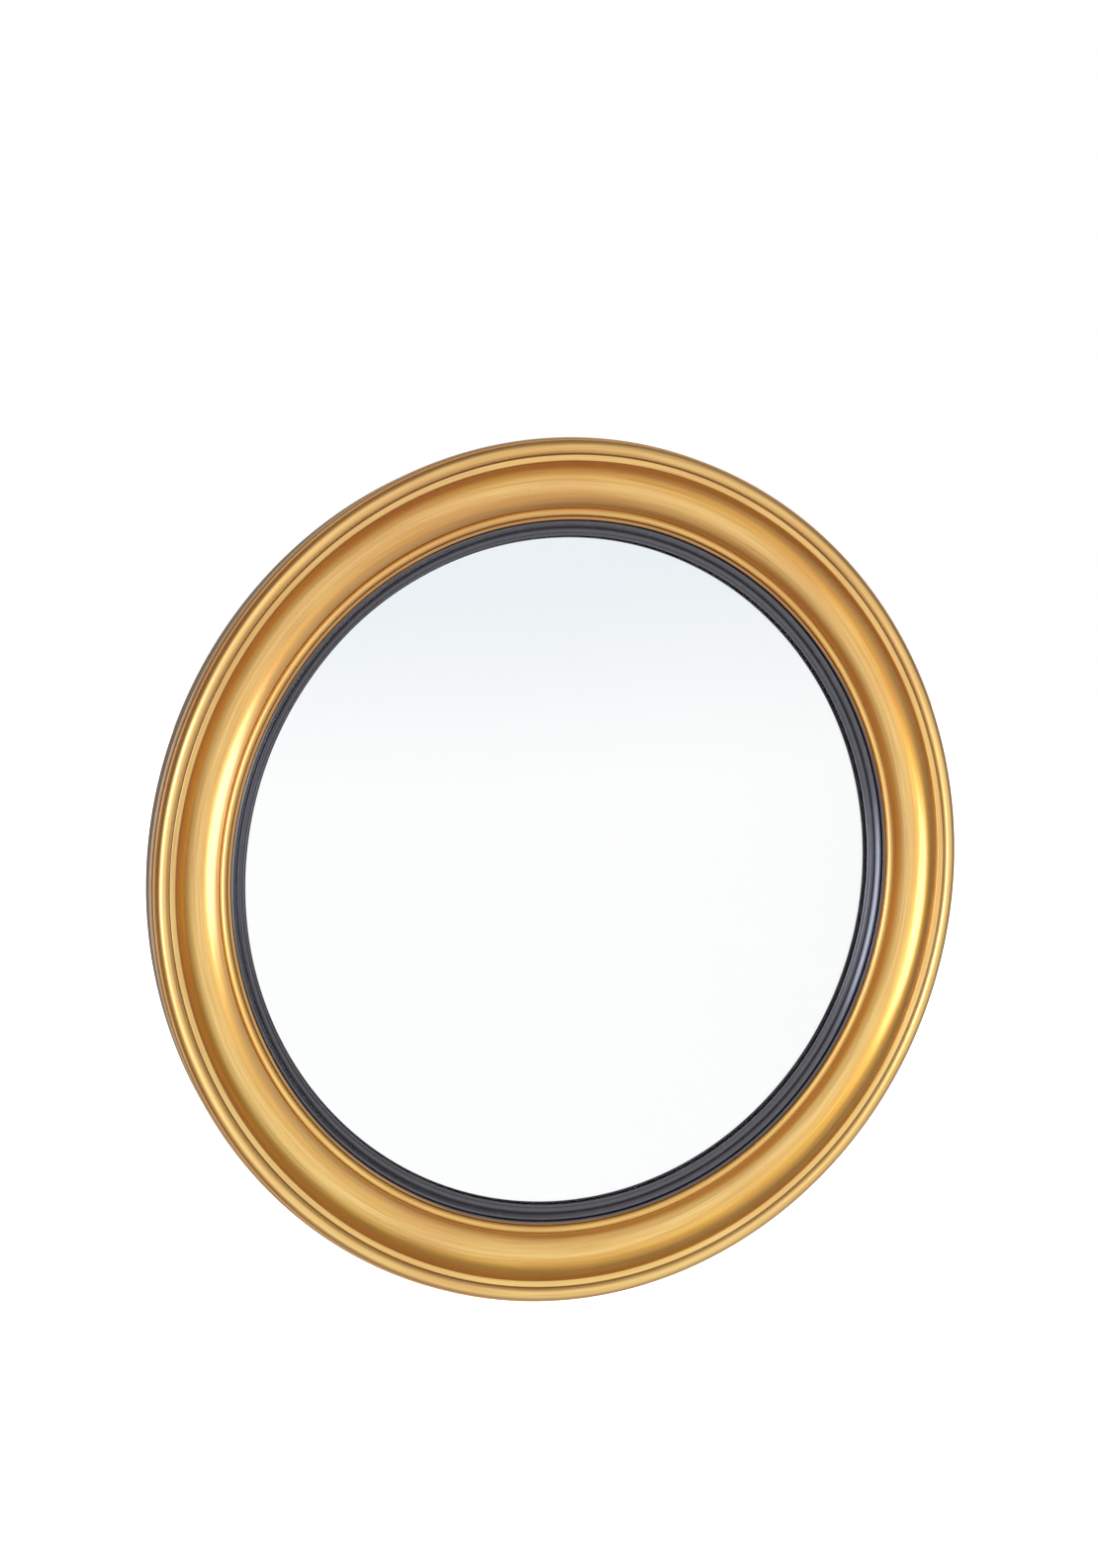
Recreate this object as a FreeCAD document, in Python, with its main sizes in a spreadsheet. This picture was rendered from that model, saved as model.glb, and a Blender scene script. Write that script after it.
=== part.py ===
import FreeCAD, Part
import math
import os
import re
import Sketcher

# A round convex mirror in a gilded scoop moulding with an ebonised, reeded slip.
# Every piece is drawn in a bench frame: the mirror lies on its back, +Z is its face, +Y its top
# and Z = 0 is the wall. STAND then turns it upright, so that the finished part has +Z up,
# its face towards -Y and its origin on the wall, behind the middle of the glass.

DIMENSIONS = {
    "frame_diameter": 570.0,
    "wall_gap": 5.0,
    # moulding: widths across the face, from the outer side inwards
    "side_taper": 2.6,
    "band_set": 0.9,
    "band_ledge": 1.6,
    "outer_bead_width": 7.8,
    "groove_width": 1.0,
    "fillet_width": 3.7,
    "scoop_wall": 0.5,
    "scoop_width": 29.3,
    "inner_quirk": 0.6,
    "inner_bead_width": 5.0,
    "lip_width": 2.6,
    "slip_width": 10.5,
    # moulding: heights above the glass at the sight edge
    "wall_rise": 5.8,
    "band_height": 5.2,
    "outer_bead_drop": 0.4,
    "outer_bead_lean": 2.5,
    "outer_bead_bulge": 3.7,
    "fillet_rise": 13.9,
    "fillet_fall": 0.75,
    "scoop_step": 1.75,
    "scoop_depth": 7.6,
    "lip_rise": 4.9,
    "inner_bead_bulge": 2.3,
    "quirk_depth": 0.8,
    "back_chamfer": 1.0,
    # slip
    "rebate_width": 4.2,
    "shelf_rise": 3.0,
    "outer_reed_width": 2.2,
    "outer_reed_rise": 0.95,
    "outer_reed_bulge": 0.55,
    "inner_reed_bulge": 0.5,
    "reed_gap": 0.5,
    "reed_fall": 0.6,
    "slip_edge_thickness": 0.7,
    # glass and what packs it in the rebate
    "glass_curve": 850.0,
    "glass_thickness": 2.0,
    "glass_gap": 1.7,
    "coating_thickness": 0.2,
    "coating_margin": 0.5,
    "gasket_thickness": 0.8,
    "gasket_set": 1.5,
    "packing_gap": 0.1,
    "spacer_height": 4.14,
    "spacer_width": 8.5,
    "board_thickness": 3.0,
    "fit_gap": 0.2,
    "edge_gap": 0.5,
    # turn buttons
    "button_count": 8,
    "button_length": 28.0,
    "button_width": 10.0,
    "button_bow": 4.0,
    "button_thickness": 1.2,
    "button_end": 5.5,
    "button_reach": 12.0,
    "button_gap": 0.2,
    # screws
    "screw_radius": 1.5,
    "head_radius": 3.0,
    "head_height": 1.8,
    "head_bulge": 0.5,
    "screw_depth": 9.0,
    "screw_point": 2.5,
    "slot_width": 0.8,
    "slot_depth": 0.9,
    "screw_clearance": 0.08,
    "pilot_gap": 0.02,
    # hangers
    "hanger_rise": 95.0,
    "hanger_margin": 2.0,
    "strap_width": 12.0,
    "strap_length": 24.5,
    "strap_bow": 4.5,
    "strap_thickness": 2.0,
    "sheet_thickness": 1.0,
    "wire_radius": 1.1,
    "pin_clearance": 0.06,
    "ring_side_gap": 0.6,
    "ring_depth": 14.0,
    "ring_corner": 1.6,
    "first_screw": 8.5,
    "screw_spacing": 10.5,
    # bumpers
    "bumper_radius": 6.0,
    "bumper_chamfer": 1.0,
    "bumper_margin": 12.4,
    "bumper_half_angle": 22.5,
}

# Sizes that follow from the ones above, each worked out from earlier ones.
LAYOUT = {
    # radii of the moulding's members
    "outer_radius": "frame_diameter / 2",
    "band_radius": "outer_radius - band_set",
    "outer_bead_foot": "band_radius - band_ledge",
    "outer_bead_inside": "outer_bead_foot - outer_bead_width",
    "fillet_outside": "outer_bead_inside - groove_width",
    "fillet_inside": "fillet_outside - fillet_width",
    "scoop_outside": "fillet_inside - scoop_wall",
    "scoop_inside": "scoop_outside - scoop_width",
    "inner_bead_outside": "scoop_inside - inner_quirk",
    "inner_bead_inside": "inner_bead_outside - inner_bead_width",
    "lip_outside": "inner_bead_inside - inner_quirk",
    "lip_radius": "inner_bead_inside - lip_width",
    "sight_radius": "lip_radius - slip_width",
    # radii of what lies in the rebate
    "rebate_radius": "lip_radius + rebate_width",
    "slip_radius": "rebate_radius - fit_gap",
    "board_radius": "rebate_radius - edge_gap",
    "glass_radius": "rebate_radius - glass_gap",
    "coating_radius": "glass_radius - coating_margin",
    "gasket_inside": "sight_radius + gasket_set",
    "gasket_outside": "glass_radius - gasket_set",
    "spacer_inside": "glass_radius - spacer_width",
    # radii of curvature, all about one centre
    "glass_back_curve": "glass_curve - glass_thickness",
    "coating_curve": "glass_back_curve - coating_thickness",
    "gasket_curve": "glass_curve + gasket_thickness",
    "seat_curve": "gasket_curve + packing_gap",
    "spacer_curve": "coating_curve - packing_gap",
    # heights above the wall
    "frame_back": "wall_gap",
    "board_front": "frame_back + board_thickness",
    "glass_centre": "board_front + spacer_height - sqrt(coating_curve ^ 2 - glass_radius ^ 2)",
    "sight": "glass_centre + sqrt(glass_curve ^ 2 - sight_radius ^ 2)",
    "wall_top": "sight + wall_rise",
    "band_foot": "wall_top + quirk_depth",
    "band_top": "band_foot + band_height",
    "bead_foot_low": "band_top - outer_bead_drop",
    "bead_foot_high": "bead_foot_low + outer_bead_lean",
    "fillet_top": "sight + fillet_rise",
    "fillet_edge": "fillet_top - fillet_fall",
    "scoop_top": "fillet_edge - scoop_step",
    "lip_top": "sight + lip_rise",
    "shelf": "sight + shelf_rise",
    # slip
    "slip_seat": "glass_centre + sqrt(seat_curve ^ 2 - sight_radius ^ 2)",
    "slip_heel": "glass_centre + sqrt(seat_curve ^ 2 - slip_radius ^ 2)",
    "slip_edge": "slip_seat + slip_edge_thickness",
    "reed_width": "(slip_width - fit_gap - 2 * reed_gap) / 2",
    "outer_reed": "lip_radius - fit_gap",
    "outer_reed_inside": "outer_reed - outer_reed_width",
    "outer_reed_top": "shelf + outer_reed_rise",
    "reed_valley": "outer_reed - reed_width",
    "inner_reed": "reed_valley - reed_gap",
    "inner_reed_end": "inner_reed - reed_width",
    "inner_reed_top": "slip_edge + reed_fall",
    # turn buttons and screws
    "button_circle": "board_radius - button_reach + button_length - button_end",
    "button_top": "frame_back - button_gap",
    "button_under": "button_top - button_thickness",
    "button_head": "button_under - screw_clearance",
    "hole_radius": "screw_radius + screw_clearance",
    "pilot_radius": "screw_radius + pilot_gap",
    "screw_end": "frame_back + screw_depth",
    # hangers
    "strap_under": "frame_back - strap_thickness",
    "bore_radius": "wire_radius + pin_clearance",
    "barrel_radius": "bore_radius + sheet_thickness",
    "pin_height": "frame_back - barrel_radius",
    "ring_half_width": "strap_width / 2 + ring_side_gap + wire_radius",
    "ring_leg": "ring_depth - ring_half_width",
    "strap_corner": "hanger_rise + strap_width / 2",
    "strap_end": "sqrt((outer_radius - side_taper) ^ 2 - strap_corner ^ 2) - hanger_margin",
    "hanger_reach": "strap_end - strap_length",
    # bumpers
    "bumper_circle": "outer_radius - side_taper - bumper_margin - bumper_radius",
}

STAND = FreeCAD.Rotation(FreeCAD.Vector(1, 0, 0), 90)
HALF_TURN = FreeCAD.Rotation(FreeCAD.Vector(0, 0, 1), 180)
SIDES = {"right": 1, "left": -1}


def bound(formula):
    """The formula with each size led by the name of the sheet that holds it."""

    def lead(match):
        word = match.group(0)
        if word in DIMENSIONS:
            return "dims." + word
        if word in LAYOUT:
            return "layout." + word
        return word

    return re.sub(r"[a-z_]+", lead, formula)


def add_sheet(doc, name, contents):
    """A spreadsheet with one named cell for each entry."""
    sheet = doc.addObject("Spreadsheet::Sheet", name)
    for row, (alias, content) in enumerate(contents.items(), start=1):
        sheet.set("A%d" % row, alias)
        sheet.set("B%d" % row, content)
        sheet.setAlias("B%d" % row, alias)
    doc.recompute()


def value(doc, formula):
    """The number that a formula gives now."""
    return float(doc.getObject("dims").evalExpression(bound(formula)))


def add_body(doc, label, turn=FreeCAD.Rotation()):
    """An empty body that is turned on the bench and then stood upright with the mirror."""
    body = doc.addObject("PartDesign::Body", label)
    body.Label = label
    body.Placement = FreeCAD.Placement(FreeCAD.Vector(), STAND.multiply(turn))
    return body


def origin_feature(body, role):
    return next(item for item in body.Origin.OriginFeatures if item.Role == role)


def add_sketch(body, name, plane, offsets=None):
    """An empty sketch on one of the body's origin planes, moved by the offset formulas."""
    sketch = body.newObject("Sketcher::SketchObject", name)
    sketch.AttachmentSupport = [(origin_feature(body, plane), "")]
    sketch.MapMode = "FlatFace"
    for axis, formula in (offsets or {}).items():
        sketch.setExpression("AttachmentOffset.Base." + axis, bound(formula))
    return sketch


def constrain(sketch, kind, members, formula, number):
    """Add a driving constraint and bind it to its formula."""
    index = sketch.addConstraint(Sketcher.Constraint(kind, *members, number))
    sketch.setExpression("Constraints[%d]" % index, bound(formula))


def pin_point(sketch, point, place, formulas):
    """Hold a point at the coordinates that the two formulas give."""
    for kind, axis, formula, number in zip(("DistanceX", "DistanceY"), (-2, -1), formulas, place):
        if abs(number) < 1e-9:
            sketch.addConstraint(Sketcher.Constraint("PointOnObject", *point, axis))
        elif number > 0:
            constrain(sketch, kind, (-1, 1, *point), formula, number)
        else:
            constrain(sketch, kind, (*point, -1, 1), "-(%s)" % formula, -number)


def bow(corners, side, rise):
    """The radius formula of the arc that rises by so much over one side of an outline."""
    (x_from, y_from), (x_to, y_to) = corners[side], corners[(side + 1) % len(corners)]
    chord_squared = "((%s - (%s)) ^ 2 + (%s - (%s)) ^ 2)" % (x_to, x_from, y_to, y_from)
    return "%s / (8 * %s) + %s / 2" % (chord_squared, rise, rise)


def arc_geometry(start, end, radius, turn):
    """The short arc between two points. turn is 1 where it bulges to the right of the way
    from start to end, and -1 where it bulges to the left."""
    across = end - start
    left = FreeCAD.Vector(-across.y, across.x, 0).normalize()
    stand_off = math.sqrt(max(radius**2 - (across.Length / 2) ** 2, 0))
    centre = start + across * 0.5 + left * stand_off * turn
    first, last = (start, end) if turn > 0 else (end, start)
    angles = [math.atan2(p.y - centre.y, p.x - centre.x) for p in (first, last)]
    if angles[1] < angles[0]:
        angles[1] += 2 * math.pi
    circle = Part.Circle(centre, FreeCAD.Vector(0, 0, 1), radius)
    return Part.ArcOfCircle(circle, *angles)


def draw_outline(sketch, corners, arcs=None):
    """A closed outline through corners, each a pair of formulas. arcs gives the sides that are
    curved, each as a radius formula and the way that it bulges."""
    doc = sketch.Document
    arcs = arcs or {}
    places = [FreeCAD.Vector(value(doc, x), value(doc, y), 0) for x, y in corners]
    count = len(corners)
    ends = []
    for side in range(count):
        start, end = places[side], places[(side + 1) % count]
        if side in arcs:
            formula, turn = arcs[side]
            index = sketch.addGeometry(arc_geometry(start, end, value(doc, formula), turn))
            ends.append((index, (1, 2) if turn > 0 else (2, 1)))
        else:
            index = sketch.addGeometry(Part.LineSegment(start, end))
            ends.append((index, (1, 2)))
    for side in range(count):
        index, (first, last) = ends[side]
        next_index, (next_first, _) = ends[(side + 1) % count]
        sketch.addConstraint(Sketcher.Constraint("Coincident", index, last, next_index, next_first))
        pin_point(sketch, (index, first), places[side], corners[side])
        if side in arcs:
            formula = arcs[side][0]
            constrain(sketch, "Radius", (index,), formula, value(doc, formula))


def draw_circle(sketch, centre, radius):
    """A circle whose centre is a pair of formulas and whose radius is a third."""
    doc = sketch.Document
    place = FreeCAD.Vector(value(doc, centre[0]), value(doc, centre[1]), 0)
    size = value(doc, radius)
    index = sketch.addGeometry(Part.Circle(place, FreeCAD.Vector(0, 0, 1), size))
    pin_point(sketch, (index, 3), place, centre)
    constrain(sketch, "Radius", (index,), radius, size)


def revolve(body, name, corners, arcs=None, offsets=None):
    """A ring, disc or pin turned about an upright line, from a half section. The offsets move
    the line from the mirror's axis: x to the right, and z down the mirror."""
    sketch = add_sketch(body, name + "_section", "XZ_Plane", offsets)
    draw_outline(sketch, corners, arcs)
    turned = body.newObject("PartDesign::Revolution", name)
    turned.Profile = sketch
    turned.ReferenceAxis = (sketch, ["V_Axis"])
    turned.Angle = 360
    return turned


def pad(body, name, sketch, length, both_ways=False):
    """Raise a sketch by a length, or by half of it each way."""
    raised = body.newObject("PartDesign::Pad", name)
    raised.Profile = sketch
    raised.Midplane = both_ways
    raised.setExpression("Length", bound(length))
    return raised


def pocket(body, name, sketch, length, both_ways=False):
    """Cut a sketch upwards into the body, or half each way, and see that it removes something."""
    doc = body.Document
    doc.recompute()
    before = body.Shape.Volume
    cut = body.newObject("PartDesign::Pocket", name)
    cut.Profile = sketch
    cut.Reversed = not both_ways
    cut.Midplane = both_ways
    cut.setExpression("Length", bound(length))
    doc.recompute()
    if not body.Shape.Volume < before:
        raise ValueError("%s removes nothing" % name)
    return cut


def ring_pattern(body, name, features, count):
    """Repeat features evenly round the mirror's axis."""
    pattern = body.newObject("PartDesign::PolarPattern", name)
    pattern.Originals = features
    pattern.Axis = (origin_feature(body, "Z_Axis"), [""])
    pattern.Angle = 360
    pattern.setExpression("Occurrences", bound(count))
    body.Tip = pattern


def mirror_across(body, name, features):
    """Repeat features on the other side of the mirror's upright middle plane."""
    mirrored = body.newObject("PartDesign::Mirrored", name)
    mirrored.Originals = features
    mirrored.MirrorPlane = (origin_feature(body, "YZ_Plane"), [""])
    body.Tip = mirrored


def curved_height(curve, radius):
    """Height, at a radius, of a surface about the common centre of curvature."""
    return "glass_centre + sqrt(%s ^ 2 - (%s) ^ 2)" % (curve, radius)


def make_frame(doc):
    """The turned frame: side wall, band, outer bead, fillet, scoop, inner bead and lip,
    over a rebate that is open to the back."""
    body = add_body(doc, "frame_ring")
    corners = [
        ("rebate_radius", "frame_back"),
        ("outer_radius - side_taper - back_chamfer", "frame_back"),
        ("outer_radius - side_taper", "frame_back + back_chamfer"),
        ("outer_radius", "wall_top"),
        ("band_radius - quirk_depth", "wall_top + quirk_depth / 2"),
        ("band_radius", "band_foot"),
        ("band_radius", "band_top"),
        ("outer_bead_foot + outer_bead_drop / 2", "band_top"),
        ("outer_bead_foot", "bead_foot_low"),
        ("outer_bead_inside", "bead_foot_high"),
        ("outer_bead_inside - groove_width / 2", "bead_foot_high - quirk_depth"),
        ("fillet_outside", "fillet_top"),
        ("fillet_inside", "fillet_edge"),
        ("scoop_outside", "scoop_top"),
        ("scoop_inside", "lip_top"),
        ("scoop_inside - inner_quirk / 2", "lip_top - quirk_depth"),
        ("inner_bead_outside", "lip_top"),
        ("inner_bead_inside", "lip_top"),
        ("inner_bead_inside - inner_quirk / 2", "lip_top - quirk_depth"),
        ("lip_outside", "lip_top"),
        ("lip_radius", "lip_top"),
        ("lip_radius", "shelf + fit_gap"),
        ("rebate_radius", "shelf + fit_gap"),
    ]
    outer_bead = corners.index(("outer_bead_foot", "bead_foot_low"))
    scoop = corners.index(("scoop_outside", "scoop_top"))
    inner_bead = corners.index(("inner_bead_outside", "lip_top"))
    arcs = {
        outer_bead: (bow(corners, outer_bead, "outer_bead_bulge"), 1),
        scoop: (bow(corners, scoop, "scoop_depth"), -1),
        inner_bead: (bow(corners, inner_bead, "inner_bead_bulge"), 1),
    }
    revolve(body, "moulding", corners, arcs)
    button_pilot = add_sketch(body, "button_pilot", "XY_Plane", {"z": "frame_back"})
    draw_circle(button_pilot, ("button_circle", "0"), "pilot_radius")
    cut = pocket(body, "button_pilot_hole", button_pilot, "screw_depth + pilot_gap")
    ring_pattern(body, "button_pilot_holes", [cut], "button_count")
    hanger_pilots = add_sketch(body, "hanger_pilots", "XY_Plane", {"z": "frame_back"})
    for side in SIDES.values():
        for row in ("0", "screw_spacing"):
            reach = "%d * (hanger_reach + first_screw + %s)" % (side, row)
            draw_circle(hanger_pilots, (reach, "hanger_rise"), "pilot_radius")
    pocket(body, "hanger_pilot_holes", hanger_pilots, "screw_depth + pilot_gap")
    return body


def make_slip(doc):
    """The black slip: a narrow reed and a slope that fall to a wide flat reed beside the glass,
    on a flange under the frame's lip."""
    body = add_body(doc, "slip_ring")
    corners = [
        ("sight_radius", "slip_seat"),
        ("slip_radius", "slip_heel"),
        ("slip_radius", "shelf"),
        ("outer_reed", "shelf"),
        ("outer_reed_inside", "outer_reed_top"),
        ("reed_valley", "inner_reed_top - reed_gap / 2"),
        ("inner_reed", "inner_reed_top"),
        ("inner_reed_end", "slip_edge"),
        ("sight_radius", "slip_edge - reed_gap / 2"),
    ]
    under = corners.index(("sight_radius", "slip_seat"))
    outer_reed = corners.index(("outer_reed", "shelf"))
    inner_reed = corners.index(("inner_reed", "inner_reed_top"))
    arcs = {
        under: ("seat_curve", -1),
        outer_reed: (bow(corners, outer_reed, "outer_reed_bulge"), 1),
        inner_reed: (bow(corners, inner_reed, "inner_reed_bulge"), 1),
    }
    revolve(body, "reeds", corners, arcs)
    return body


def make_shell(doc, label, outer_curve, inner_curve, radius):
    """A round sheet between two surfaces about the common centre of curvature."""
    body = add_body(doc, label)
    corners = [
        ("0", "glass_centre + " + inner_curve),
        (radius, curved_height(inner_curve, radius)),
        (radius, curved_height(outer_curve, radius)),
        ("0", "glass_centre + " + outer_curve),
    ]
    revolve(body, "sheet", corners, {0: (inner_curve, -1), 2: (outer_curve, 1)})
    return body


def make_gasket(doc):
    """The felt strip between the glass and the slip."""
    body = add_body(doc, "sight_gasket")
    corners = [
        (radius, curved_height(curve, radius))
        for radius, curve in (
            ("gasket_inside", "glass_curve"),
            ("gasket_outside", "glass_curve"),
            ("gasket_outside", "gasket_curve"),
            ("gasket_inside", "gasket_curve"),
        )
    ]
    revolve(body, "strip", corners, {0: ("glass_curve", -1), 2: ("gasket_curve", 1)})
    return body


def make_spacer(doc):
    """The foam strip between the backing board and the back of the coated glass."""
    body = add_body(doc, "spacer_ring")
    corners = [
        ("spacer_inside", "board_front"),
        ("glass_radius", "board_front"),
        ("glass_radius", curved_height("spacer_curve", "glass_radius")),
        ("spacer_inside", curved_height("spacer_curve", "spacer_inside")),
    ]
    revolve(body, "strip", corners, {2: ("spacer_curve", 1)})
    return body


def make_board(doc):
    """The round backing board, flush with the back of the frame."""
    body = add_body(doc, "backing_board")
    disc = add_sketch(body, "disc_outline", "XY_Plane", {"z": "frame_back"})
    draw_circle(disc, ("0", "0"), "board_radius")
    pad(body, "disc", disc, "board_thickness")
    return body


def make_turn_button(doc, number, angle):
    """One turn button, swung over the edge of the backing board."""
    turn = FreeCAD.Rotation(FreeCAD.Vector(0, 0, 1), angle)
    body = add_body(doc, "turn_button_%d" % number, turn)
    outline = add_sketch(body, "plate_outline", "XY_Plane", {"x": "button_circle", "z": "button_under"})
    corners = [
        ("button_end - button_length + button_bow", "-button_width / 2"),
        ("button_end - button_bow", "-button_width / 2"),
        ("button_end - button_bow", "button_width / 2"),
        ("button_end - button_length + button_bow", "button_width / 2"),
    ]
    ends = {side: (bow(corners, side, "button_bow"), 1) for side in (1, 3)}
    draw_outline(outline, corners, ends)
    pad(body, "plate", outline, "button_thickness")
    hole = add_sketch(body, "hole", "XY_Plane", {"x": "button_circle", "z": "button_under"})
    draw_circle(hole, ("0", "0"), "hole_radius")
    pocket(body, "screw_hole", hole, "button_thickness")
    return body


def add_screw(body, reach, seat, rise="0"):
    """A slotted round-head screw at reach and rise, whose head bears on something at the height
    of its seat and stands out from there towards the wall."""
    head_bottom = "%s - head_height" % seat
    corners = [
        ("0", head_bottom),
        ("head_radius", "%s + head_bulge" % head_bottom),
        ("head_radius", seat),
        ("screw_radius", seat),
        ("screw_radius", "screw_end - screw_point"),
        ("0", "screw_end"),
    ]
    dome = {0: ("head_radius ^ 2 / (2 * head_bulge) + head_bulge / 2", 1)}
    screw = revolve(body, "screw", corners, dome, {"x": reach, "z": "-(%s)" % rise})
    place = {"x": reach, "y": rise, "z": head_bottom}
    slot_sketch = add_sketch(body, "slot_outline", "XY_Plane", place)
    half_length, half_width = "head_radius + slot_width", "slot_width / 2"
    corners = [
        ("-(%s)" % half_length, "-(%s)" % half_width),
        (half_length, "-(%s)" % half_width),
        (half_length, half_width),
        ("-(%s)" % half_length, half_width),
    ]
    draw_outline(slot_sketch, corners)
    return [screw, pocket(body, "slot", slot_sketch, "slot_depth")]


def make_button_screws(doc):
    """The screws on which the turn buttons swing."""
    body = add_body(doc, "turn_button_screws")
    features = add_screw(body, "button_circle", "button_head")
    ring_pattern(body, "screws", features, "button_count")
    return body


def make_hanger_screws(doc, side):
    """The two screws of one hanger."""
    body = add_body(doc, "hanger_screws_" + side)
    reach = "%d * (hanger_reach + first_screw)" % SIDES[side]
    features = add_screw(body, reach, "strap_under", "hanger_rise")
    row = body.newObject("PartDesign::LinearPattern", "screws")
    row.Originals = features
    row.Direction = (origin_feature(body, "X_Axis"), [""])
    row.Reversed = SIDES[side] < 0
    row.Mode = "Spacing"
    row.Occurrences = 2
    row.setExpression("Offset", bound("screw_spacing"))
    body.Tip = row
    return body


def place_hanger(body, side):
    """Put a hanger piece, drawn with its pin through the bench origin, at its place."""
    body.setExpression("Placement.Base.x", bound("%d * hanger_reach" % SIDES[side]))
    body.setExpression("Placement.Base.z", bound("hanger_rise"))
    if SIDES[side] < 0:
        body.Placement = FreeCAD.Placement(body.Placement.Base, STAND.multiply(HALF_TURN))


def make_strap(doc, side):
    """A strap of folded sheet with a barrel for the ring's straight bar."""
    body = add_body(doc, "hanger_strap_" + side)
    outline = add_sketch(body, "plate_outline", "XY_Plane", {"z": "strap_under"})
    corners = [
        ("0", "-strap_width / 2"),
        ("strap_length - strap_bow", "-strap_width / 2"),
        ("strap_length - strap_bow", "strap_width / 2"),
        ("0", "strap_width / 2"),
    ]
    draw_outline(outline, corners, {1: (bow(corners, 1, "strap_bow"), 1)})
    pad(body, "plate", outline, "strap_thickness")
    barrel = add_sketch(body, "barrel_outline", "XZ_Plane")
    draw_circle(barrel, ("0", "pin_height"), "barrel_radius")
    pad(body, "barrel", barrel, "strap_width", both_ways=True)
    bore = add_sketch(body, "bore_outline", "XZ_Plane")
    draw_circle(bore, ("0", "pin_height"), "bore_radius")
    pocket(body, "bore", bore, "2 * strap_width", both_ways=True)
    holes = add_sketch(body, "hole_outlines", "XY_Plane", {"z": "strap_under"})
    for row in ("0", "screw_spacing"):
        draw_circle(holes, ("first_screw + " + row, "0"), "hole_radius")
    pocket(body, "screw_holes", holes, "strap_thickness")
    place_hanger(body, side)
    return body


def make_hanger_ring(doc, side):
    """A bent-wire D ring: a straight bar in the strap's barrel, and a bow towards the middle."""
    body = add_body(doc, "hanger_ring_" + side)
    path = add_sketch(body, "bend", "XY_Plane", {"z": "pin_height"})
    straight = "ring_half_width - ring_corner"
    corners = [
        ("0", "0"),
        ("0", straight),
        ("-ring_corner", "ring_half_width"),
        ("-ring_leg", "ring_half_width"),
        ("-ring_depth", "0"),
        ("-ring_leg", "-ring_half_width"),
        ("-ring_corner", "-ring_half_width"),
        ("0", "-(%s)" % straight),
    ]
    corner, quarter = ("ring_corner", 1), ("ring_half_width", 1)
    draw_outline(path, corners, {1: corner, 3: quarter, 4: quarter, 6: corner})
    section = add_sketch(body, "wire_section", "XZ_Plane")
    draw_circle(section, ("0", "pin_height"), "wire_radius")
    wire = body.newObject("PartDesign::AdditivePipe", "wire")
    wire.Profile = section
    wire.Spine = path
    place_hanger(body, side)
    return body


def make_bumpers(doc):
    """Two rubber bumpers that keep the lower edge off the wall."""
    body = add_body(doc, "wall_bumpers")
    across = "bumper_circle * sin(bumper_half_angle)"
    below = "bumper_circle * cos(bumper_half_angle)"
    corners = [
        ("0", "0"),
        ("bumper_radius - bumper_chamfer", "0"),
        ("bumper_radius", "bumper_chamfer"),
        ("bumper_radius", "frame_back"),
        ("0", "frame_back"),
    ]
    bumper = revolve(body, "bumper", corners, offsets={"x": across, "z": below})
    mirror_across(body, "bumpers", [bumper])
    return body


def make_all(doc):
    """Every sub-part, each as a body whose label is its name."""
    bodies = [
        make_frame(doc),
        make_slip(doc),
        make_gasket(doc),
        make_shell(doc, "mirror_glass", "glass_curve", "glass_back_curve", "glass_radius"),
        make_shell(doc, "silvering", "glass_back_curve", "coating_curve", "coating_radius"),
        make_spacer(doc),
        make_board(doc),
        make_button_screws(doc),
        make_bumpers(doc),
    ]
    count = int(DIMENSIONS["button_count"])
    for number in range(count):
        bodies.append(make_turn_button(doc, number + 1, 360 * number / count))
    for side in SIDES:
        bodies.append(make_strap(doc, side))
        bodies.append(make_hanger_ring(doc, side))
        bodies.append(make_hanger_screws(doc, side))
    return bodies


def check_document(doc, bodies):
    """Stop if any object failed or any sub-part has no sound solid."""
    for item in doc.Objects:
        if "Invalid" in item.State or "Error" in item.State:
            raise RuntimeError("%s failed: %s" % (item.Label, item.State))
    for body in bodies:
        if body.Shape.isNull() or not body.Shape.isValid() or not body.Shape.Solids:
            raise RuntimeError("%s has no sound solid" % body.Label)


def main():
    doc = FreeCAD.newDocument("convex_mirror")
    add_sheet(doc, "dims", {name: str(size) for name, size in DIMENSIONS.items()})
    sizes = {name: "=" + bound(formula) for name, formula in LAYOUT.items()}
    add_sheet(doc, "layout", {name: text.replace("layout.", "") for name, text in sizes.items()})
    bodies = make_all(doc)
    doc.recompute()
    check_document(doc, bodies)
    os.makedirs("parts", exist_ok=True)
    for body in bodies:
        body.Shape.exportStep("parts/%s.step" % body.Label)
        print("%s: %d solid(s), %.0f mm3" % (body.Label, len(body.Shape.Solids), body.Shape.Volume))


if __name__ == "__main__":
    main()
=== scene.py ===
import math

import bmesh
import bpy
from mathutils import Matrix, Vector, noise


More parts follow.
